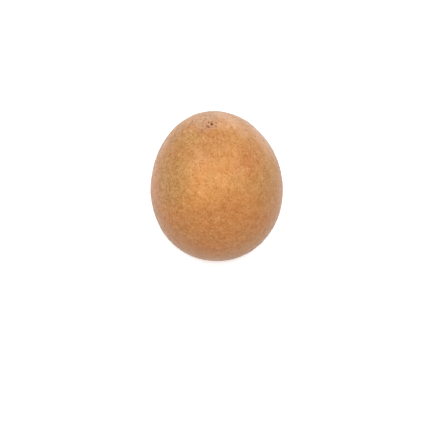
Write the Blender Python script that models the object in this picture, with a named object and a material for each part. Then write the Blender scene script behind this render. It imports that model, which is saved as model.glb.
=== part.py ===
"""A whole sapodilla, modelled in metres and standing on its stem end with its blossom end up.

The origin is under the middle of the fruit, at the height it rests on. +Z is up, and -Y faces the viewer.
"""

import math

import bmesh
import bpy

MM = 0.001
NAME = "sapodilla"

# The egg that the fruit is drawn from, before its two ends are shaped. A fullness of 2 is a plain ellipse.
# The taper makes the blossom half slimmer than the stem half, and the apex leans aside by its offset.
EGG_LENGTH = 74.4 * MM
EGG_WIDTH = 60.0 * MM
FULLNESS = 2.03
TAPER = 0.068
APEX_OFFSET = (-1.9 * MM, -0.4 * MM)
APEX_BEND = 3.0

# Slight flats and swellings round the girth: folds, share of the radius, heading in degrees.
LOBES = ((2, 0.0070, -38.0), (3, 0.0080, 94.0), (5, 0.0020, 10.0))

# Stem end: a shallow hollow, its corky scar and the six stubs of the calyx round it.
HOLLOW_DEPTH = 3.1 * MM
HOLLOW_RADIUS = 5.0 * MM
SCAR_RADIUS = 2.3 * MM
SCAR_HEIGHT = 0.7 * MM
SCAR_PIT_RADIUS = 0.9 * MM
SCAR_PIT_DEPTH = 0.6 * MM
SEPALS = 6
SEPAL_MIDDLE = 3.3 * MM
SEPAL_REACH = 1.0 * MM
SEPAL_HEIGHT = 0.55 * MM

# The fruit's own weight flattens the rim of that hollow by this much.
REST_FLATTENING = 0.14 * MM

# Blossom end: a puckered dimple and the stub of the style in it.
DIMPLE_RADIUS = 2.0 * MM
DIMPLE_DEPTH = 0.45 * MM
PUCKERS = 7
PUCKER_DEPTH = 0.14 * MM
STYLE_RADIUS = 0.65 * MM
STYLE_HEIGHT = 0.75 * MM

# Facets. Bands crowd towards both ends, where the small forms are.
SIDES = 84
BANDS = 60
CROWDING = 0.80

SKIN_COLOUR = (0.55, 0.26, 0.09, 1.0)
SKIN_ROUGHNESS = 0.78


def hump(distance, width, power=2):
    """1 at distance 0, falling smoothly to 0 past width."""
    return math.exp(-((distance / width) ** power))


def polar_angle(share):
    """Angle from the blossom end, 0 to pi, for a share of the bands from 0 to 1."""
    return math.pi * (share - CROWDING * math.sin(2 * math.pi * share) / (2 * math.pi))


def profile(angle):
    """Height and radius of the untapered egg at this angle, as shares of its half length and half width."""
    upward = math.cos(angle)
    outward = abs(math.sin(angle))
    stretch = (abs(upward) ** FULLNESS + outward**FULLNESS) ** (-1 / FULLNESS)
    return upward * stretch, outward * stretch


def lobing(outward, heading):
    """How far the girth swells at this heading, as a share of the radius. It fades out at both ends."""
    swell = sum(share * math.cos(folds * (heading - math.radians(turn))) for folds, share, turn in LOBES)
    return swell * outward**2


def stem_relief(radius, heading):
    """Height of the stem end's surface above the plain egg, at this distance from the axis."""
    hollow = HOLLOW_DEPTH * hump(radius, HOLLOW_RADIUS)
    scar = SCAR_HEIGHT * hump(radius, SCAR_RADIUS, 6) - SCAR_PIT_DEPTH * hump(radius, SCAR_PIT_RADIUS, 4)
    spoke = max(0.0, math.cos(SEPALS * heading)) ** 2
    sepal = SEPAL_HEIGHT * spoke * hump(radius - SEPAL_MIDDLE, SEPAL_REACH)
    return hollow - scar - sepal


def blossom_relief(radius, heading):
    """Height of the blossom end's surface above the plain egg, at this distance from the apex."""
    dimple = DIMPLE_DEPTH * hump(radius, DIMPLE_RADIUS)
    pucker = PUCKER_DEPTH * hump(radius - DIMPLE_RADIUS, DIMPLE_RADIUS / 2) * math.cos(PUCKERS * heading)
    style = STYLE_HEIGHT * hump(radius, STYLE_RADIUS, 4)
    return style - dimple - pucker


def skin_point(share, heading):
    """The point of the skin at a share of the way from the blossom end to the stem end, on this heading."""
    upward, outward = profile(polar_angle(share))
    radius = EGG_WIDTH / 2 * outward * (1 - TAPER * upward) * (1 + lobing(outward, heading))
    height = EGG_LENGTH / 2 * upward
    if upward < 0:
        height += stem_relief(radius, heading)
    else:
        height += blossom_relief(radius, heading)
    bend = max(0.0, upward) ** APEX_BEND
    x = radius * math.cos(heading) + APEX_OFFSET[0] * bend
    y = radius * math.sin(heading) + APEX_OFFSET[1] * bend
    return [x, y, height]


def rim_height():
    """Height at which the rim of the stem end's hollow is flattened, measured from the egg's middle."""
    lowest = min(skin_point(band / BANDS, 0.0)[2] for band in range(BANDS // 2, BANDS + 1))
    return lowest + REST_FLATTENING


def skin_mesh():
    """A sphere moved onto the fruit's skin, with its rest at z = 0 and its box centred over the origin."""
    body = bmesh.new()
    bmesh.ops.create_uvsphere(body, u_segments=SIDES, v_segments=BANDS, radius=1.0)
    rest = rim_height()
    for vertex in body.verts:
        share = math.acos(max(-1.0, min(1.0, vertex.co.z))) / math.pi
        heading = math.atan2(vertex.co.y, vertex.co.x)
        x, y, height = skin_point(share, heading)
        vertex.co = (x, y, max(height, rest) - rest)
    for axis in (0, 1):
        along = [vertex.co[axis] for vertex in body.verts]
        middle = (min(along) + max(along)) / 2
        for vertex in body.verts:
            vertex.co[axis] -= middle
    mesh = bpy.data.meshes.new(NAME)
    body.to_mesh(mesh)
    body.free()
    mesh.shade_smooth()
    return mesh


def skin_material():
    material = bpy.data.materials.new("scurfy_skin")
    material.use_nodes = True
    shader = material.node_tree.nodes["Principled BSDF"]
    shader.inputs["Base Color"].default_value = SKIN_COLOUR
    shader.inputs["Roughness"].default_value = SKIN_ROUGHNESS
    shader.inputs["Metallic"].default_value = 0.0
    material.diffuse_color = SKIN_COLOUR
    return material


def clear_scene():
    for obj in list(bpy.data.objects):
        bpy.data.objects.remove(obj, do_unlink=True)


def main():
    clear_scene()
    collection = bpy.data.collections.new(NAME)
    bpy.context.scene.collection.children.link(collection)
    fruit = bpy.data.objects.new(NAME, skin_mesh())
    fruit.data.materials.append(skin_material())
    collection.objects.link(fruit)


main()
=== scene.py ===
"""The looks of a whole sapodilla: its scurfy skin, the dry style on top, and the calyx underneath.

Lengths in the constants are in millimetres, and MM turns them into metres. The fruit stands on its stem end.
"""

import math
import random
from functools import reduce

import bpy
import numpy as np
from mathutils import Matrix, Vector, noise


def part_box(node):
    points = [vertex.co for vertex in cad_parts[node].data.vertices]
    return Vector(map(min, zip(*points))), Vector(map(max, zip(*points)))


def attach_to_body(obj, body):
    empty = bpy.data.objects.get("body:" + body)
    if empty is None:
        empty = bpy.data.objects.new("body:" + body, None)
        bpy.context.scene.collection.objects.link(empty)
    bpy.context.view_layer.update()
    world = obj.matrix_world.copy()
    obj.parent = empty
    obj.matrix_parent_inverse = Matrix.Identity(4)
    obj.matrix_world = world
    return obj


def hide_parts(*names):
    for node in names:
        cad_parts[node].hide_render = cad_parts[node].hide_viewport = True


MM = 0.001
NODE = "sapodilla"
BODY = "root"

# The egg, as in the part's source.
EGG_LENGTH = 74.4
EGG_WIDTH = 60.0
FULLNESS = 2.03
TAPER = 0.068
APEX_OFFSET = (-1.9, -0.4)
APEX_BEND = 3.0
LOBES = ((2, 0.0070, -38.0), (3, 0.0080, 94.0), (5, 0.0020, 10.0))

# Stem end, as in the part's source but for the sepals, which are a piece of their own here.
HOLLOW_DEPTH = 3.1
HOLLOW_RADIUS = 5.0
REST_FLATTENING = 0.14
SCAR_RADIUS = 2.3
SCAR_HEIGHT = 0.7
SCAR_STEEPNESS = 6
SCAR_PIT_RADIUS = 0.9
SCAR_PIT_DEPTH = 0.6
SCAR_PIT_STEEPNESS = 4

# Sepals, in two widths by turns. Each draws its change of length, its curl, its turn in radians from its even
# place, and its twist. None comes lower than SEPAL_LOWEST above the surface underneath.
SEPALS = 6
SEPAL_ROOT = 1.9
SEPAL_TIP = 5.0
SEPAL_HALF_WIDTHS = (1.42, 1.18)
SEPAL_TIP_WIDTH = 0.06
SEPAL_THICKNESS = 0.32
SEPAL_CLEARANCE = 0.12
SEPAL_LOWEST = 0.2
SEPAL_SEED = 6
SEPAL_LENGTH_CHANGE = (-0.5, 0.3)
SEPAL_CURL = (0.25, 0.6)
SEPAL_TURN = 0.12
SEPAL_TWIST = 0.25

# A sepal's blade: rows and columns of points, how its width and thickness change, and how it curls and cups.
SEPAL_ROWS = 13
SEPAL_COLUMNS = 9
SEPAL_POINTEDNESS = 0.62
SEPAL_BELLY = (0.75, 0.95)
SEPAL_TIP_THINNING = 0.6
SEPAL_EDGE_THINNING = 0.7
SEPAL_CURL_POWER = 2.2
SEPAL_CUP = 0.22
SEPAL_CUP_FADE = 0.3
SEPAL_CRINKLE = 0.10

# Blossom end.
DIMPLE_RADIUS = 2.0
DIMPLE_DEPTH = 0.45
PUCKERS = 7
PUCKER_DEPTH = 0.14

# The dry style, on rings of points. Each ring is height and radius, as shares of the style's own. A height
# below 0 is in millimetres.
STYLE_RADIUS = 0.52
STYLE_HEIGHT = 0.75
STYLE_SIDES = 28
STYLE_RINGS = (
    (-0.5, 1.30),
    (0.0, 1.25),
    (0.22, 1.02),
    (0.5, 0.92),
    (0.8, 0.86),
    (1.0, 0.74),
    (0.92, 0.45),
    (0.6, 0.2),
)

# The style's ribs: number, depth as a share of the radius, turn in radians. Then the share by which it is
# broader on one side, its lean at the top, and how ragged it is: share of the radius, rise at the top,
# fineness of the noise, and step in the noise from ring to ring.
STYLE_RIBS = (5, 0.10, 0.4)
STYLE_SKEW = 0.13
STYLE_LEAN = 0.12
STYLE_RAGGED_SIDES = 0.22
STYLE_RAGGED_TOP = 0.16
STYLE_RAGGED_FINENESS = 1.7
STYLE_RAGGED_STEP = 0.9

# The ring of pores round the style, and the smudge: heading in degrees, distance from the style, radius.
PORES = (
    (-117, 2.6, 0.28),
    (-90, 1.9, 0.24),
    (-36, 2.0, 0.28),
    (29, 2.1, 0.42),
    (80, 1.7, 0.30),
    (110, 1.7, 0.26),
    (142, 1.7, 0.32),
)
SMUDGE = (-137, 2.2, 1.3)

# The skin's own mesh: cells along an edge of the cube that it is inflated from, and the margin round each of
# the cube's faces in the map. Both ends have finer cells: the share by which they shrink at the very end, and
# how far round from it, in degrees.
SKIN_CELLS = 126
MAP_MARGIN = 0.004
FINE_BLOSSOM = (0.60, 17.0)
FINE_STEM = (0.45, 26.0)

# Relief of the skin: blob size and depth either way of its dents, bumps and scurf. It fades towards the rest.
RELIEF = ((13.0, 0.15), (4.5, 0.05), (1.5, 0.045))
RELIEF_FADE = 4.0
PORE_DEPTH = 0.20
PORE_REACH = 1.5

# Cork of the stem scar: crumb size, depth either way, seed, the radius that it fills, and where it ends.
CORK_CRUMBS = (0.9, 0.16)
CORK_SEED = 7
CORK_RADIUS = 1.1 * SCAR_RADIUS
CORK_END = 1.6 * SCAR_RADIUS

# Noise of the relief: fall-off, step in fineness and number of its layers, and how far apart two seeds are.
NOISE_LAYERS = (0.9, 2.1, 3)
NOISE_SHIFT = Vector((17.3, -9.1, 4.7))

# Tones of the skin and of the dry parts, as screen colours.
OCHRE = (193, 132, 68)
RUST = (193, 126, 61)
AMBER = (216, 147, 76)
OLIVE = (179, 130, 69)
RUSSET = (180, 110, 54)
SADDLE = (176, 118, 62)
ASHEN = (192, 150, 118)
PEACH = (236, 182, 140)
# Painted rim light at the lower left edge.
RIM_LIGHT_ROSE = (238, 155, 116)
# Painted highlight: a pale tone laid along the rims where the side lights catch them.
PAINTED_HIGHLIGHT = (226, 192, 166)
MAUVE = (172, 120, 88)
# Painted shade: the deeper brown laid low on the fruit.
SHADE_SIENNA = (184, 111, 50)
UMBER = (108, 60, 26)
RAW_UMBER = (136, 76, 26)
CORK = (150, 112, 76)
MAROON = (142, 86, 44)
SEPIA = (142, 82, 14)
BUFF = (230, 194, 142)
HAZEL = (176, 110, 58)
BARK = (104, 58, 26)
STRAW = (158, 114, 74)
PEAT = (86, 56, 34)

# In all of the materials, noise is blob size, detail, roughness, shift and, where there is any, distortion.
# A ramp is where it starts, where it ends and, unless they are 0 and 1, its values there. The shifts keep the
# patterns apart, each along these ways.
BLOB_SHIFT = (1, -1, 0.6)
MARK_SHIFT = (1, 0.7, -1)

# Ground colour: broad clouds, patches, and painted shade: a deeper brown lower down, by height.
CLOUDS = (16.0, 2.0, 0.5, 3.0)
CLOUD_RAMP = (0.40, 0.62)
PATCHES = (5.5, 3.0, 0.55, 11.0, 0.3)
PATCH_RAMP = (0.46, 0.70, 0.0, 0.45)
LOW_SHADE_RAMP = (58.0, 30.0, 0.0, 0.5)

# Tints over the skin: middle, radius, share, tone. Some are the skin's own tones; many are painted light and
# shade: a painted glow on the front, painted shade on the olive flanks and low on the front, painted
# highlights along the rims, and painted sheen on the crown. Each is full in its core and fades to its edge,
# which waves: size of the waves, and how far they push it.
TINTS_AND_PAINTED_LIGHT = (
    # Painted highlight: a brighter amber glow over the front, where the key light falls (this and the next).
    ((-2, -22, 60), 15, 0.32, AMBER),
    ((-10, -24, 51), 8, 0.30, AMBER),
    ((-2, -11, 70), 11, 0.60, SADDLE),
    # Left olive flank: the skin's own olive, with painted shade where the side turns from the light.
    ((-21, -16, 53), 15, 0.75, OLIVE),
    ((-13, -7, 67), 12, 0.50, OLIVE),
    ((-14, -16, 62), 8, 0.42, OLIVE),
    ((-11, -7, 70), 7, 0.40, OLIVE),
    # Right olive flank: the skin's own olive, with painted shade where the side turns from the light.
    ((22, -16, 51), 14, 0.65, OLIVE),
    ((14, -12, 63), 9, 0.45, RUSSET),
    ((18, -14, 59), 7, 0.30, RUSSET),
    ((10, -17, 63), 6, 0.10, PEACH),
    # Painted shade: a deeper sienna low on the front (this and the next).
    ((8, -26, 49), 9, 0.40, SHADE_SIENNA),
    ((0, -29, 42), 14, 0.35, SHADE_SIENNA),
    # Partly the crown's own paler tone and partly painted sheen from the light above.
    ((0, 12, 69), 17, 0.50, ASHEN),
    # Painted highlight along the upper right rim (this and the next two).
    ((19, 4, 62), 10, 0.38, PEACH),
    ((17, 8, 63), 9, 0.30, PAINTED_HIGHLIGHT),
    ((25, 4, 55), 10, 0.28, PAINTED_HIGHLIGHT),
    # Painted rim light along the lower left edge: peach and rose (this and the next).
    ((-28, -4, 46), 9, 0.18, PEACH),
    ((-28, -4, 43), 13, 0.32, RIM_LIGHT_ROSE),
    ((-8, -16, 65), 7, 0.15, PEACH),
    # Painted highlight on the left rim.
    ((-24, 3, 58), 8, 0.25, PAINTED_HIGHLIGHT),
    ((11, -1, 69), 6, 0.27, PEACH),
    # Painted shade low on the right front.
    ((17, -20, 51), 9, 0.25, SHADE_SIENNA),
    # The crown, pale ashen and peach: partly its own tone and partly painted sheen from the light above.
    ((-5, 2, 72), 8, 0.60, ASHEN),
    ((-11, 6, 70), 7, 0.25, PEACH),
    ((4, 7, 71), 7, 0.50, PEACH),
    ((2, -1, 72), 5, 0.25, PEACH),
    ((7, 3, 71), 5.5, 0.45, PEACH),
    ((-5.5, -3, 72), 5, 0.50, MAUVE),
    ((-9, -13, 67), 8, 0.25, SADDLE),
    ((-18, -12, 61), 9, 0.18, SADDLE),
    ((-8, 8, 70), 6, 0.25, SADDLE),
    ((8, 9, 69), 8, 0.18, AMBER),
)
TINT_CORE = 0.3
TINT_WAVES = (7.0, 6.0)

# Layers of grain, mottle, scurf, crumb and sand: noise, the range of it that counts, and strength either way.
GRAIN = (
    ((3.2, 2.0, 0.5, 31.0), (0.32, 0.68), 0.07),
    ((1.5, 3.0, 0.6, 23.0, 0.4), (0.34, 0.66), 0.09),
    ((0.75, 2.0, 0.6, 5.0, 0.6), (0.30, 0.70), 0.135),
    ((0.22, 2.0, 0.6, 53.0), (0.30, 0.70), 0.04),
)

# Coarseness of the grain: its ramp towards the left flank, by X, and where it is coarser or finer than that:
# middle, radius, change.
COARSE_RAMP = (-12.0, -27.0, 1.1, 1.55)
COARSE_PLACES = (((-12, 5, 70), 15, 0.7), ((15, -25, 50), 12, -0.2))
COARSE_CORE = 0.4

# What a full grain adds to the skin's linear red, green and blue, so it looks the same on pale and dark skin.
# A dark grain leaves at least the floor's share of the skin's own colour.
GRAIN_TINT = (0.35, 0.26, 0.165)
GRAIN_FLOOR = 0.45

# Scattered marks: spacing, shift, ramp by distance from a mark's middle, in spacings, and ramp by the random
# number that each mark draws. Those below that ramp don't show. The shares are how strong the marks are.
DOTS = (1.15, 17.0, (0.36, 0.20), (0.50, 0.62))
DOT_SHARE = 0.54
FLECKS = (1.7, 41.0, (0.28, 0.14), (0.55, 0.70))
FLECK_STRENGTH = 0.28
FRECKLES = (3.2, 71.0, (0.20, 0.11), (0.46, 0.50))
FRECKLE_SHARE = 0.75
SCALES = (2.4, 83.0, (0.26, 0.14), (0.50, 0.55))
SCALE_SHARE = 0.28

# The edges of all small marks wander: size of the noise, and how far it pushes them.
WANDER = (1.3, 0.7)

# Where freckles and pale scales show: the ramp towards the left flank, by X, and places by middle and radius.
WEATHER_RAMP = (-10.0, -19.0)
WEATHERED = (((-8, 10, 69), 18), ((20, 1, 62), 13))
WEATHERED_CORE = 0.55

# Single dark spots on the crown: middle, radius.
SPOTS = (
    ((-7.4, 6.2, 71.3), 0.62),
    ((13.2, 0.9, 67.8), 0.55),
    ((14.0, -4.3, 67.1), 0.55),
    ((6.6, -1.3, 71.3), 0.50),
    ((-10.9, 2.8, 70.7), 0.52),
    ((-20.2, -1.2, 63.2), 0.66),
    ((-15.5, -8.6, 66.3), 0.62),
    ((-6.4, -4.3, 72.3), 0.50),
    ((0.0, 12.2, 69.1), 0.52),
)
SPOT_SHARE = 0.55

# Edge and core of round marks, in their own radius or, for the halo and the skirt, in the style's.
SPOT_MARK = (1.5, 0.6)
PORE_MARK = (1.6, 0.8)
SMUDGE_MARK = (1.0, 0.5)
HALO_MARK = (3.4, 1.6)
SKIRT_MARK = (2.0, 1.2)

# Colour round the style: shares of the pale halo, of the pores and the smudge, and of the dark skirt.
HALO_SHARE = 0.5
PORE_SHARE = 0.9
SKIRT_SHARE = 0.7

# Colour round the stem: ramps of the cork and of the scar, by distance, and the noise that mixes the scar's
# two tones, with its ramp.
CORK_RAMP = (13.0, 6.0, 0.0, 0.7)
SCAR_RAMP = (3.2, 2.5, 0.0, 0.9)
SCAR_CRUMBS = (0.7, 3.0, 0.65, 61.0, 1.0)
SCAR_CRUMB_RAMP = (0.40, 0.62)

# Fine bump of the skin: rise of the sand, scurf and crumb layers of the grain, of the dots and of the pores.
# The roughness is a ramp by the scurf layer. The sheen is the dusty look of the scurf.
SKIN_BUMPS = (0.05, 0.22, 0.16, -0.05, -0.08)
SKIN_ROUGHNESS = (0.3, 0.7, 0.60, 0.78)
SKIN_SHEEN = {
    "Specular IOR Level": 0.5,
    "Sheen Weight": 0.55,
    "Sheen Roughness": 0.45,
    "Sheen Tint": (1.0, 0.82, 0.70, 1.0),
}

# Dry tissue: size of its fibres, the rest of the noise of fibres and cracks, and how much finer cracks are.
STYLE_FIBRE = 0.5
CALYX_FIBRE = 1.2
FIBRES = (3.0, 0.6, 7.0, 1.2)
FIBRE_RAMP = (0.35, 0.68)
FIBRE_ROUGHNESS = (0.3, 0.7, 0.95, 0.7)
FIBRE_BUMP = 0.12
CRACK_SIZE = 0.4
CRACKS = (2.0, 0.6, 19.0)
CRACK_RAMP = (0.42, 0.55)
CRACK_SHARE = 0.35
CRACK_BUMP = -0.05
DRY_GLOSS = {"Specular IOR Level": 0.3}

# Camera. Its target is near the fruit's foot, because the fruit stands high in the picture.
CAMERA_ELEVATION = 45.0
CAMERA_DISTANCE = 582.7
CAMERA_TARGET = (3.10, -0.28, 11.36)
CAMERA_LENS = 100.0
CAMERA_CLIP = (10.0, 20000.0)

# Softboxes: name, azimuth, elevation, distance, diameter, power in watts.
LIGHT_TARGET = (0, 0, 40)
LIGHTS = (
    ("key", 0, 45, 700, 320, 4.0),
    ("rim_left", -120, 32, 700, 420, 0.9),
    ("rim_right", 125, 38, 700, 420, 1.1),
)
AMBIENT = 0.46

# The floor glows a little by itself. The ramp is by distance from the fruit, and makes it white far away.
FLOOR_REACH = 4000.0
FLOOR_GLOW_RAMP = (120, 420, 0.45, 0.65)
FLOOR_ROUGHNESS = 0.9
PALE_GREY = (0.8, 0.8, 0.8, 1.0)
WHITE = (1.0, 1.0, 1.0, 1.0)


def hump(distance, width, power=2):
    """1 at distance 0, falling smoothly to 0 past width. A higher power makes its side steeper."""
    return np.exp(-((np.abs(distance) / width) ** power))


# Shape of the skin


def cube_cells(cells):
    """A cube's surface in square cells: corners as whole numbers, each cell's four corners, and their map."""
    step = np.arange(cells)
    across, along = (grid.ravel() for grid in np.meshgrid(step, step, indexing="ij"))
    corners, places = [], []
    for axis in range(3):
        for side in (0, cells):
            ring = ((0, 0), (1, 0), (1, 1), (0, 1)) if side else ((0, 0), (0, 1), (1, 1), (1, 0))
            chart = np.array([axis, 1 if side else 0])
            for u, v in ring:
                corner = np.empty((len(across), 3), int)
                corner[:, axis] = side
                corner[:, (axis + 1) % 3] = across + u
                corner[:, (axis + 2) % 3] = along + v
                corners.append(corner)
                inside = np.stack([across + u, along + v], 1) / cells
                places.append((chart + MAP_MARGIN + (1 - 2 * MAP_MARGIN) * inside) / (3, 2))
    shape = (6, 4, cells * cells)
    corners = np.array(corners).reshape(*shape, 3).transpose(0, 2, 1, 3).reshape(-1, 3)
    places = np.array(places).reshape(*shape, 2).transpose(0, 2, 1, 3).reshape(-1, 2)
    points, index = np.unique(corners, axis=0, return_inverse=True)
    return points, index.reshape(-1, 4), places


def stem_relief(radius):
    """The hollow at the stem end, with the corky scar standing in it."""
    scar = SCAR_HEIGHT * hump(radius, SCAR_RADIUS, SCAR_STEEPNESS)
    pit = SCAR_PIT_DEPTH * hump(radius, SCAR_PIT_RADIUS, SCAR_PIT_STEEPNESS)
    return HOLLOW_DEPTH * hump(radius, HOLLOW_RADIUS) - (scar - pit)


def blossom_relief(radius, heading):
    """The puckered dimple at the blossom end. The style stands in it."""
    dimple = DIMPLE_DEPTH * hump(radius, DIMPLE_RADIUS)
    pucker = PUCKER_DEPTH * hump(radius - DIMPLE_RADIUS, DIMPLE_RADIUS / 2) * np.cos(PUCKERS * heading)
    return -dimple - pucker


def egg_points(directions):
    """The skin without its fine relief, for unit vectors from the fruit's middle. Its rest isn't at 0 yet."""
    polar = np.arccos(np.clip(directions[:, 2], -1, 1))
    for sign, end, (share, width) in ((1, 0.0, FINE_BLOSSOM), (-1, math.pi, FINE_STEM)):
        away = np.abs(polar - end)
        polar = polar - sign * share * away * hump(away, math.radians(width))
    heading = np.arctan2(directions[:, 1], directions[:, 0])
    upward, outward = np.cos(polar), np.abs(np.sin(polar))
    stretch = (np.abs(upward) ** FULLNESS + outward**FULLNESS) ** (-1 / FULLNESS)
    upward, outward = upward * stretch, outward * stretch
    swell = sum(share * np.cos(folds * (heading - math.radians(turn))) for folds, share, turn in LOBES)
    radius = EGG_WIDTH / 2 * outward * (1 - TAPER * upward) * (1 + swell * outward**2)
    height = EGG_LENGTH / 2 * upward
    height += np.where(upward < 0, stem_relief(radius), blossom_relief(radius, heading))
    bend = np.maximum(0, upward) ** APEX_BEND
    x = radius * np.cos(heading) + APEX_OFFSET[0] * bend
    y = radius * np.sin(heading) + APEX_OFFSET[1] * bend
    return np.stack([x, y, height], 1)


def blobs(points, size, seed):
    """Smooth noise of about -1 to 1 at each point, with blobs of about this size."""
    shift = NOISE_SHIFT * seed
    return np.array([noise.fractal(Vector(p) / size + shift, *NOISE_LAYERS) for p in points])


def beside(middle, heading, distance):
    """The point at this heading and level distance from another."""
    turn = math.radians(heading)
    return middle + distance * np.array([math.cos(turn), math.sin(turn), 0.0])


def pore_relief(points, apex):
    """Small pits round the style."""
    depth = np.zeros(len(points))
    for heading, distance, radius in PORES:
        away = np.linalg.norm(points - beside(apex, heading, distance), axis=1)
        depth = np.maximum(depth, PORE_DEPTH * hump(away, PORE_REACH * radius))
    return -depth


def cork_relief(points, stem):
    """The rough, cracked cork of the stem scar."""
    size, depth = CORK_CRUMBS
    away = np.linalg.norm(points - stem, axis=1)
    near = away < CORK_END
    relief = np.zeros(len(points))
    crumbs = depth * blobs(points[near], size, CORK_SEED)
    relief[near] = crumbs * hump(away[near], CORK_RADIUS, SCAR_STEEPNESS)
    return relief


def new_object(name, points, faces):
    """A smooth object of its own, from points in millimetres."""
    mesh = bpy.data.meshes.new(name)
    mesh.from_pydata((np.asarray(points) * MM).tolist(), [], [list(map(int, face)) for face in faces])
    mesh.validate()
    mesh.shade_smooth()
    piece = bpy.data.objects.new(name, mesh)
    bpy.context.scene.collection.objects.link(piece)
    return piece


def normals_of(piece):
    """The direction that the surface faces at each of a piece's points."""
    values = np.empty(len(piece.data.vertices) * 3)
    piece.data.vertices.foreach_get("normal", values)
    return values.reshape(-1, 3)


def make_skin(box):
    """The skin in fine cells, on the CAD fruit's own place, with its dents and scurf as real relief.

    Also gives the bottom of the dimple and the top of the pit in the stem scar.
    """
    grid, faces, places = cube_cells(SKIN_CELLS)
    directions = np.tan(math.pi / 4 * (2 * grid / SKIN_CELLS - 1))
    directions /= np.linalg.norm(directions, axis=1, keepdims=True)
    points = egg_points(directions)
    low, high = (np.array(corner) / MM for corner in box)
    points[:, 2] += low[2] - points[:, 2].min() - REST_FLATTENING
    points[:, :2] += (low + high)[:2] / 2 - (points.min(0) + points.max(0))[:2] / 2
    apex = points[directions[:, 2].argmax()].copy()
    stem = points[directions[:, 2].argmin()].copy()
    skin = new_object("skin", points, faces)
    relief = sum(depth * blobs(points, size, seed) for seed, (size, depth) in enumerate(RELIEF))
    relief *= np.clip((points[:, 2] - low[2]) / RELIEF_FADE, 0, 1)
    relief += pore_relief(points, apex) + cork_relief(points, stem)
    points = points + normals_of(skin) * relief[:, None]
    points[:, 2] = np.maximum(points[:, 2], low[2])
    skin.data.vertices.foreach_set("co", (points * MM).ravel())
    skin.data.uv_layers.new(name="OFBake").data.foreach_set("uv", places.ravel())
    skin.data.update()
    return skin, apex, stem


# Shape of the dry parts


def make_style(apex):
    """The dry stub of the style: short, tapered, ragged and hollow at its end."""
    number, depth, turn = STYLE_RIBS
    sides = STYLE_SIDES
    points = []
    for level, (height, width) in enumerate(STYLE_RINGS):
        above = max(0.0, height)
        lean = STYLE_LEAN * above
        for side in range(sides):
            heading = 2 * math.pi * side / sides
            around = Vector((math.cos(heading), math.sin(heading), STYLE_RAGGED_STEP * level))
            ragged = noise.noise(around * STYLE_RAGGED_FINENESS)
            ribs = 1 + depth * math.cos(number * heading + turn) + STYLE_SKEW * math.sin(heading)
            radius = STYLE_RADIUS * width * (ribs + STYLE_RAGGED_SIDES * ragged)
            up = STYLE_HEIGHT * height if height > 0 else height
            up += STYLE_RAGGED_TOP * ragged * above
            x, y = radius * math.cos(heading) - lean, radius * math.sin(heading)
            points.append(apex + np.array([x, y, up]))
    faces = []
    for level in range(len(STYLE_RINGS) - 1):
        for side in range(sides):
            a, b = level * sides + side, level * sides + (side + 1) % sides
            faces.append((a, b, b + sides, a + sides))
    faces.append(tuple(range(sides))[::-1])
    faces.append(tuple((len(STYLE_RINGS) - 1) * sides + side for side in range(sides)))
    return new_object("style_stub", points, faces)


def ceiling(radius, stem):
    """Height of the hollow's surface at this distance from the stem's middle, without the scar."""
    plain = EGG_LENGTH / 2 * (1 - np.sqrt(1 - (radius / (EGG_WIDTH / 2)) ** 2))
    top = stem[2] + SCAR_HEIGHT - SCAR_PIT_DEPTH
    return top - HOLLOW_DEPTH * (1 - hump(radius, HOLLOW_RADIUS)) + plain


def sepal_points(sepal, stem, draw):
    """One thin, curled sepal as two grids of points, its upper face and its lower one.

    t runs from its root to its tip, and s across it. Its tip stays above the surface underneath.
    """
    heading = 2 * math.pi * sepal / SEPALS + draw.uniform(-SEPAL_TURN, SEPAL_TURN)
    length = SEPAL_TIP - SEPAL_ROOT + draw.uniform(*SEPAL_LENGTH_CHANGE)
    curl = draw.uniform(*SEPAL_CURL)
    twist = draw.uniform(-SEPAL_TWIST, SEPAL_TWIST)
    broad = SEPAL_HALF_WIDTHS[sepal % 2]
    narrow, swell = SEPAL_BELLY
    points = []
    for face in (1, -1):
        for row in range(SEPAL_ROWS):
            t = row / (SEPAL_ROWS - 1)
            reach = SEPAL_ROOT + length * t
            half = max(SEPAL_TIP_WIDTH, broad * (1 - t) ** SEPAL_POINTEDNESS * (narrow + swell * t))
            thick = SEPAL_THICKNESS * (1 - SEPAL_TIP_THINNING * t) / 2
            for column in range(SEPAL_COLUMNS):
                s = 2 * column / (SEPAL_COLUMNS - 1) - 1
                side = half * s
                edge = thick * (1 - SEPAL_EDGE_THINNING * s * s)
                crinkle = SEPAL_CRINKLE * noise.noise(Vector((reach, side, sepal)))
                cup = SEPAL_CUP * s * s * half + twist * s * t + crinkle
                droop = curl * t**SEPAL_CURL_POWER
                up = ceiling(math.hypot(reach, side), stem) - SEPAL_CLEARANCE - thick - droop
                up -= cup * (1 - SEPAL_CUP_FADE * t)
                up = max(up, SEPAL_LOWEST + thick) + face * edge
                x = reach * math.cos(heading) - side * math.sin(heading)
                y = reach * math.sin(heading) + side * math.cos(heading)
                points.append((stem[0] + x, stem[1] + y, up))
    return points


def sepal_faces(first):
    """The faces of one sepal whose points start at first: its two grids, joined along their border."""
    rows, columns = SEPAL_ROWS, SEPAL_COLUMNS
    size = rows * columns
    faces = []
    for row in range(rows - 1):
        for column in range(columns - 1):
            a = first + row * columns + column
            upper = (a, a + columns, a + columns + 1, a + 1)
            faces.append(upper)
            faces.append(tuple(size + corner for corner in upper[::-1]))
    border = [first + column for column in range(columns)]
    border += [first + row * columns + columns - 1 for row in range(1, rows)]
    border += [first + (rows - 1) * columns + column for column in range(columns - 2, -1, -1)]
    border += [first + row * columns for row in range(rows - 2, 0, -1)]
    for a, b in zip(border, border[1:] + border[:1]):
        faces.append((a, b, b + size, a + size))
    return faces


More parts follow.
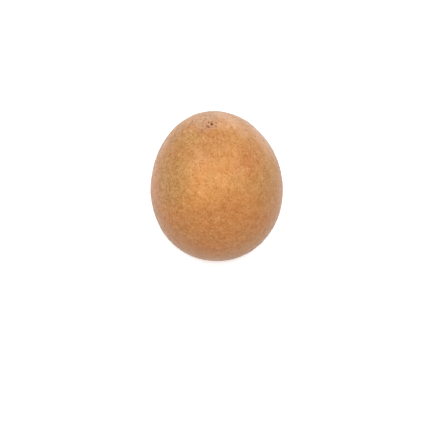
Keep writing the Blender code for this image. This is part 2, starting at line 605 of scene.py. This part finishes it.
def make_calyx(stem):
    """The dry calyx: the sepals round the stem scar, each a closed shape of its own."""
    draw = random.Random(SEPAL_SEED)
    points, faces = [], []
    for sepal in range(SEPALS):
        faces += sepal_faces(len(points))
        points += sepal_points(sepal, stem, draw)
    return new_object("calyx", points, faces)


# Materials


def linear(value):
    """The share of full light that a screen colour's value from 0 to 255 stands for."""
    share = value / 255
    return ((share + 0.055) / 1.055) ** 2.4 if share > 0.04045 else share / 12.92


class Recipe:
    """Adds shader nodes to one material. Every texture is placed in millimetres, in the fruit's own frame.

    Where a method takes a place, it is that frame's place, or the same pushed about by noise.
    """

    def __init__(self, name):
        self.material = bpy.data.materials.new(name)
        self.material.use_nodes = True
        self.nodes = self.material.node_tree.nodes
        self.links = self.material.node_tree.links
        self.shader = self.nodes["Principled BSDF"]
        metres = self.nodes.new("ShaderNodeTexCoord").outputs["Object"]
        self.place = self.vector("SCALE", metres, scale=1 / MM)

    def put(self, socket, value):
        """Sets an input, or links it where the value is another node's output."""
        if isinstance(value, bpy.types.NodeSocket):
            self.links.new(value, socket)
        else:
            socket.default_value = value

    def vector(self, operation, first, second=None, scale=None):
        """The result of one step of arithmetic on vectors."""
        node = self.nodes.new("ShaderNodeVectorMath")
        node.operation = operation
        self.put(node.inputs[0], first)
        if second is not None:
            self.put(node.inputs[1], second)
        if scale is not None:
            self.put(node.inputs["Scale"], scale)
        return node.outputs["Value" if operation in ("DISTANCE", "LENGTH") else "Vector"]

    def math(self, operation, first, second):
        """The result of one step of arithmetic on numbers."""
        node = self.nodes.new("ShaderNodeMath")
        node.operation = operation
        self.put(node.inputs[0], first)
        self.put(node.inputs[1], second)
        return node.outputs[0]

    def times(self, first, second):
        return self.math("MULTIPLY", first, second)

    def plus(self, first, second):
        return self.math("ADD", first, second)

    def most(self, first, second):
        return self.math("MAXIMUM", first, second)

    def step(self, value, low, high, start=0.0, end=1.0):
        """start up to low, end from high on, and smooth between them. low may also be above high."""
        node = self.nodes.new("ShaderNodeMapRange")
        node.interpolation_type = "SMOOTHSTEP"
        if low > high:
            low, high, start, end = high, low, end, start
        for name, number in (("From Min", low), ("From Max", high), ("To Min", start), ("To Max", end)):
            node.inputs[name].default_value = number
        self.put(node.inputs["Value"], value)
        return node.outputs["Result"]

    def mix(self, share, first, second):
        """A share of the second colour over the first. Each is a screen colour or a node's output."""
        node = self.nodes.new("ShaderNodeMix")
        node.data_type = "RGBA"
        self.put(node.inputs[0], share)
        for socket, colour in ((node.inputs[6], first), (node.inputs[7], second)):
            if isinstance(colour, tuple):
                colour = tuple(map(linear, colour)) + (1.0,)
            self.put(socket, colour)
        return node.outputs[2]

    def blobs(self, size, detail, roughness, shift, distortion=0.0):
        """Noise from 0 to 1 with blobs of this size."""
        node = self.nodes.new("ShaderNodeTexNoise")
        moved = self.vector("ADD", self.place, tuple(way * shift for way in BLOB_SHIFT))
        self.put(node.inputs["Vector"], moved)
        for name, number in (("Scale", 1 / size), ("Detail", detail), ("Roughness", roughness)):
            node.inputs[name].default_value = number
        node.inputs["Distortion"].default_value = distortion
        return node.outputs["Fac"]

    def marks(self, place, spacing, shift, by_distance, by_number):
        """Scattered round marks, 1 inside one. The ramps go by distance and by a random number for each."""
        node = self.nodes.new("ShaderNodeTexVoronoi")
        moved = self.vector("ADD", place, tuple(way * shift for way in MARK_SHIFT))
        self.put(node.inputs["Vector"], moved)
        node.inputs["Scale"].default_value = 1 / spacing
        parts = self.nodes.new("ShaderNodeSeparateColor")
        self.links.new(node.outputs["Color"], parts.inputs[0])
        inside = self.step(node.outputs["Distance"], *by_distance)
        return self.times(inside, self.step(parts.outputs[0], *by_number))

    def warped(self, size, by):
        """The place, pushed about by noise of this size."""
        node = self.nodes.new("ShaderNodeTexNoise")
        self.put(node.inputs["Vector"], self.place)
        node.inputs["Scale"].default_value = 1 / size
        node.inputs["Detail"].default_value = 1.0
        centred = self.vector("SUBTRACT", node.outputs["Color"], (0.5, 0.5, 0.5))
        return self.vector("ADD", self.place, self.vector("SCALE", centred, scale=by))

    def along(self, axis):
        """The place along one axis."""
        parts = self.nodes.new("ShaderNodeSeparateXYZ")
        self.links.new(self.place, parts.inputs[0])
        return parts.outputs[axis]

    def away_from(self, middle, place):
        """Distance from a point."""
        return self.vector("DISTANCE", place, tuple(map(float, middle)))

    def near(self, middle, place, edge, core, full=1.0):
        """full within the core's distance from a point, and 0 past the edge's."""
        return self.step(self.away_from(middle, place), edge, core, 0.0, full)

    def disc(self, middle, place, radius, shares):
        """A round mark. Its edge and its core are these shares of the radius."""
        edge, core = shares
        return self.near(middle, place, edge * radius, core * radius)

    def finish(self, colour, roughness, height, plain_values):
        """Links colour, roughness and bump height in millimetres, and sets other sockets' plain values."""
        self.put(self.shader.inputs["Base Color"], colour)
        self.put(self.shader.inputs["Roughness"], roughness)
        bump = self.nodes.new("ShaderNodeBump")
        bump.inputs["Distance"].default_value = MM
        self.put(bump.inputs["Height"], height)
        self.put(self.shader.inputs["Normal"], bump.outputs["Normal"])
        for name, value in plain_values.items():
            self.shader.inputs[name].default_value = value
        return self.material


def ground_colour(r):
    """Clouds and patches of brown, the tints with their painted light and shade, and painted shade: a deeper
    brown lower down.
    """
    colour = r.mix(r.step(r.blobs(*CLOUDS), *CLOUD_RAMP), OCHRE, RUST)
    colour = r.mix(r.step(r.blobs(*PATCHES), *PATCH_RAMP), colour, OLIVE)
    wavy = r.warped(*TINT_WAVES)
    # Many of these tints are painted light and shade.
    for middle, radius, share, tint in TINTS_AND_PAINTED_LIGHT:
        near = r.near(middle, wavy, radius, TINT_CORE * radius)
        colour = r.mix(r.times(near, share), colour, tint)
    # Painted shade: the skin turns a deeper brown towards the bottom.
    return r.mix(r.step(r.along("Z"), *LOW_SHADE_RAMP), colour, SHADE_SIENNA)


def grain_coarseness(r):
    """How strong the grain is at each place."""
    coarseness = r.step(r.along("X"), *COARSE_RAMP)
    for middle, radius, change in COARSE_PLACES:
        coarseness = r.plus(coarseness, r.near(middle, r.place, radius, COARSE_CORE * radius, change))
    return coarseness


def grained(r, colour, layers, dots, place):
    """The colour with its grain, pale flecks and dark dots."""
    parts = [r.step(layer, *span, -strength, strength) for layer, (_, span, strength) in zip(layers, GRAIN)]
    grain = r.plus(reduce(r.plus, parts), r.times(r.marks(place, *FLECKS), FLECK_STRENGTH))
    coarseness = grain_coarseness(r)
    shift = r.vector("SCALE", GRAIN_TINT, scale=r.times(grain, coarseness))
    deepest = r.vector("SCALE", colour, scale=GRAIN_FLOOR)
    colour = r.vector("MAXIMUM", r.vector("ADD", colour, shift), deepest)
    return r.mix(r.times(r.times(dots, coarseness), DOT_SHARE), colour, SEPIA)


def weathered(r, colour, place):
    """The colour with its freckles and pale scales, and the single dark spots."""
    where = r.step(r.along("X"), *WEATHER_RAMP)
    for middle, radius in WEATHERED:
        where = r.most(where, r.near(middle, r.place, radius, WEATHERED_CORE * radius))
    scales, freckles = r.marks(place, *SCALES), r.marks(place, *FRECKLES)
    colour = r.mix(r.times(r.times(scales, where), SCALE_SHARE), colour, BUFF)
    colour = r.mix(r.times(r.times(freckles, where), FRECKLE_SHARE), colour, MAROON)
    spots = reduce(r.most, [r.disc(middle, place, radius, SPOT_MARK) for middle, radius in SPOTS])
    return r.mix(r.times(spots, SPOT_SHARE), colour, MAROON)


def pore_marks(r, apex, place):
    """Round marks, one on each pore of the ring round the style."""
    marks = [r.disc(beside(apex, turn, away), place, radius, PORE_MARK) for turn, away, radius in PORES]
    return reduce(r.most, marks)


def blossom_colour(r, colour, pores, apex, place):
    """The colour with the blossom end's marks: a pale halo, the pores, the smudge, and a dark skirt."""
    colour = r.mix(r.times(r.disc(apex, place, STYLE_RADIUS, HALO_MARK), HALO_SHARE), colour, PEACH)
    heading, distance, radius = SMUDGE
    smudge = r.disc(beside(apex, heading, distance), place, radius, SMUDGE_MARK)
    colour = r.mix(r.times(r.most(pores, smudge), PORE_SHARE), colour, RAW_UMBER)
    return r.mix(r.times(r.disc(apex, place, STYLE_RADIUS, SKIRT_MARK), SKIRT_SHARE), colour, UMBER)


def stem_colour(r, colour, stem, place):
    """The colour with the cork round the stem end and the crumbly scar."""
    away = r.away_from(stem, place)
    colour = r.mix(r.step(away, *CORK_RAMP), colour, CORK)
    scar = r.mix(r.step(r.blobs(*SCAR_CRUMBS), *SCAR_CRUMB_RAMP), UMBER, CORK)
    return r.mix(r.step(away, *SCAR_RAMP), colour, scar)


def skin_material(apex, stem):
    """Thin, dull, scurfy skin, with the marks of both its ends."""
    r = Recipe("scurfy_skin")
    place = r.warped(*WANDER)
    layers = [r.blobs(*kind) for kind, _, _ in GRAIN]
    dots = r.marks(place, *DOTS)
    pores = pore_marks(r, apex, place)
    colour = grained(r, ground_colour(r), layers, dots, place)
    colour = weathered(r, colour, place)
    colour = blossom_colour(r, colour, pores, apex, place)
    colour = stem_colour(r, colour, stem, place)

    _, scurf, crumb, sand = layers
    bumps = zip((sand, scurf, crumb, dots, pores), SKIN_BUMPS)
    height = reduce(r.plus, [r.times(layer, rise) for layer, rise in bumps])
    return r.finish(colour, r.step(scurf, *SKIN_ROUGHNESS), height, SKIN_SHEEN)


def dry_material(name, light, dark, size):
    """Dead, papery or woody tissue in two tones, with fibres of this size and finer cracks."""
    r = Recipe(name)
    fibres = r.blobs(size, *FIBRES)
    cracks = r.step(r.blobs(CRACK_SIZE * size, *CRACKS), *CRACK_RAMP)
    colour = r.mix(r.step(fibres, *FIBRE_RAMP), dark, light)
    colour = r.mix(r.times(cracks, CRACK_SHARE), colour, dark)
    height = r.plus(r.times(fibres, FIBRE_BUMP), r.times(cracks, CRACK_BUMP))
    return r.finish(colour, r.step(fibres, *FIBRE_ROUGHNESS), height, DRY_GLOSS)


# Stage


def aim(obj, target, distance, azimuth, elevation):
    """Puts a camera or a light this far from its target, and points it there.

    Azimuth 0 is in front, towards -Y, and 90 is to the right.
    """
    turn, rise = math.radians(azimuth), math.radians(elevation)
    way = Vector((math.sin(turn) * math.cos(rise), -math.cos(turn) * math.cos(rise), math.sin(rise)))
    position = Vector(target) + distance * way
    obj.location = position * MM
    obj.rotation_euler = (position - Vector(target)).to_track_quat("Z", "Y").to_euler()
    bpy.context.scene.collection.objects.link(obj)


def add_camera():
    """The camera, at the photograph's viewing angle."""
    camera = bpy.data.objects.new("camera", bpy.data.cameras.new("camera"))
    camera.data.lens = CAMERA_LENS
    camera.data.clip_start, camera.data.clip_end = (distance * MM for distance in CAMERA_CLIP)
    aim(camera, CAMERA_TARGET, CAMERA_DISTANCE, 0, CAMERA_ELEVATION)
    bpy.context.scene.camera = camera


def add_softboxes():
    """Round, soft lamps that the camera doesn't see."""
    for name, azimuth, elevation, distance, diameter, power in LIGHTS:
        lamp = bpy.data.lights.new(name, "AREA")
        lamp.shape = "DISK"
        lamp.size = diameter * MM
        lamp.energy = power
        light = bpy.data.objects.new(name, lamp)
        light.visible_camera = False
        aim(light, LIGHT_TARGET, distance, azimuth, elevation)


def add_floor():
    """A white surface that lights up a little by itself, so that only the shadow under the fruit shows."""
    corners = [(x * FLOOR_REACH, y * FLOOR_REACH, 0) for x, y in ((-1, -1), (1, -1), (1, 1), (-1, 1))]
    floor = new_object("floor", corners, [(0, 1, 2, 3)])
    r = Recipe("floor_white")
    glow = r.step(r.vector("LENGTH", r.place), *FLOOR_GLOW_RAMP)
    r.put(r.shader.inputs["Emission Strength"], glow)
    r.shader.inputs["Emission Color"].default_value = WHITE
    r.shader.inputs["Base Color"].default_value = PALE_GREY
    r.shader.inputs["Roughness"].default_value = FLOOR_ROUGHNESS
    r.shader.inputs["Specular IOR Level"].default_value = 0.0
    floor.data.materials.append(r.material)
    floor.visible_diffuse = False
    floor.visible_glossy = False


def add_world():
    """White as seen by the camera, and a dimmer, even light on the fruit."""
    world = bpy.data.worlds.new("studio")
    bpy.context.scene.world = world
    world.use_nodes = True
    nodes, links = world.node_tree.nodes, world.node_tree.links
    lit, seen = nodes["Background"], nodes.new("ShaderNodeBackground")
    for background, strength in ((lit, AMBIENT), (seen, 1.0)):
        background.inputs["Color"].default_value = WHITE
        background.inputs["Strength"].default_value = strength
    path = nodes.new("ShaderNodeLightPath")
    mix = nodes.new("ShaderNodeMixShader")
    links.new(path.outputs["Is Camera Ray"], mix.inputs[0])
    links.new(lit.outputs[0], mix.inputs[1])
    links.new(seen.outputs[0], mix.inputs[2])
    links.new(mix.outputs[0], nodes["World Output"].inputs["Surface"])


def set_stage():
    """Floor, light and camera."""
    bpy.context.scene.view_settings.view_transform = "Standard"
    add_floor()
    add_world()
    add_camera()
    add_softboxes()


# Assembly


def attach(piece, material):
    """Dresses the CAD fruit with a piece, in its material."""
    piece.data.materials.append(material)
    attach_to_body(piece, BODY)
    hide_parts(NODE)


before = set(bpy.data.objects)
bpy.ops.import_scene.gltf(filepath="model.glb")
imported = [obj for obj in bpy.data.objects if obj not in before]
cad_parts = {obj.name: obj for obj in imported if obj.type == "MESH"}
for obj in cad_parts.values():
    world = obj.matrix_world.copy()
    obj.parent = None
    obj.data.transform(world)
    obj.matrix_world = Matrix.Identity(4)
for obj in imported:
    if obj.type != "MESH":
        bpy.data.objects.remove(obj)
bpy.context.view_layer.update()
skin, apex, stem = make_skin(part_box(NODE))
attach(skin, skin_material(apex, stem))
attach(make_style(apex), dry_material("dry_style", HAZEL, BARK, STYLE_FIBRE))
attach(make_calyx(stem), dry_material("dry_calyx", STRAW, PEAT, CALYX_FIBRE))
set_stage()
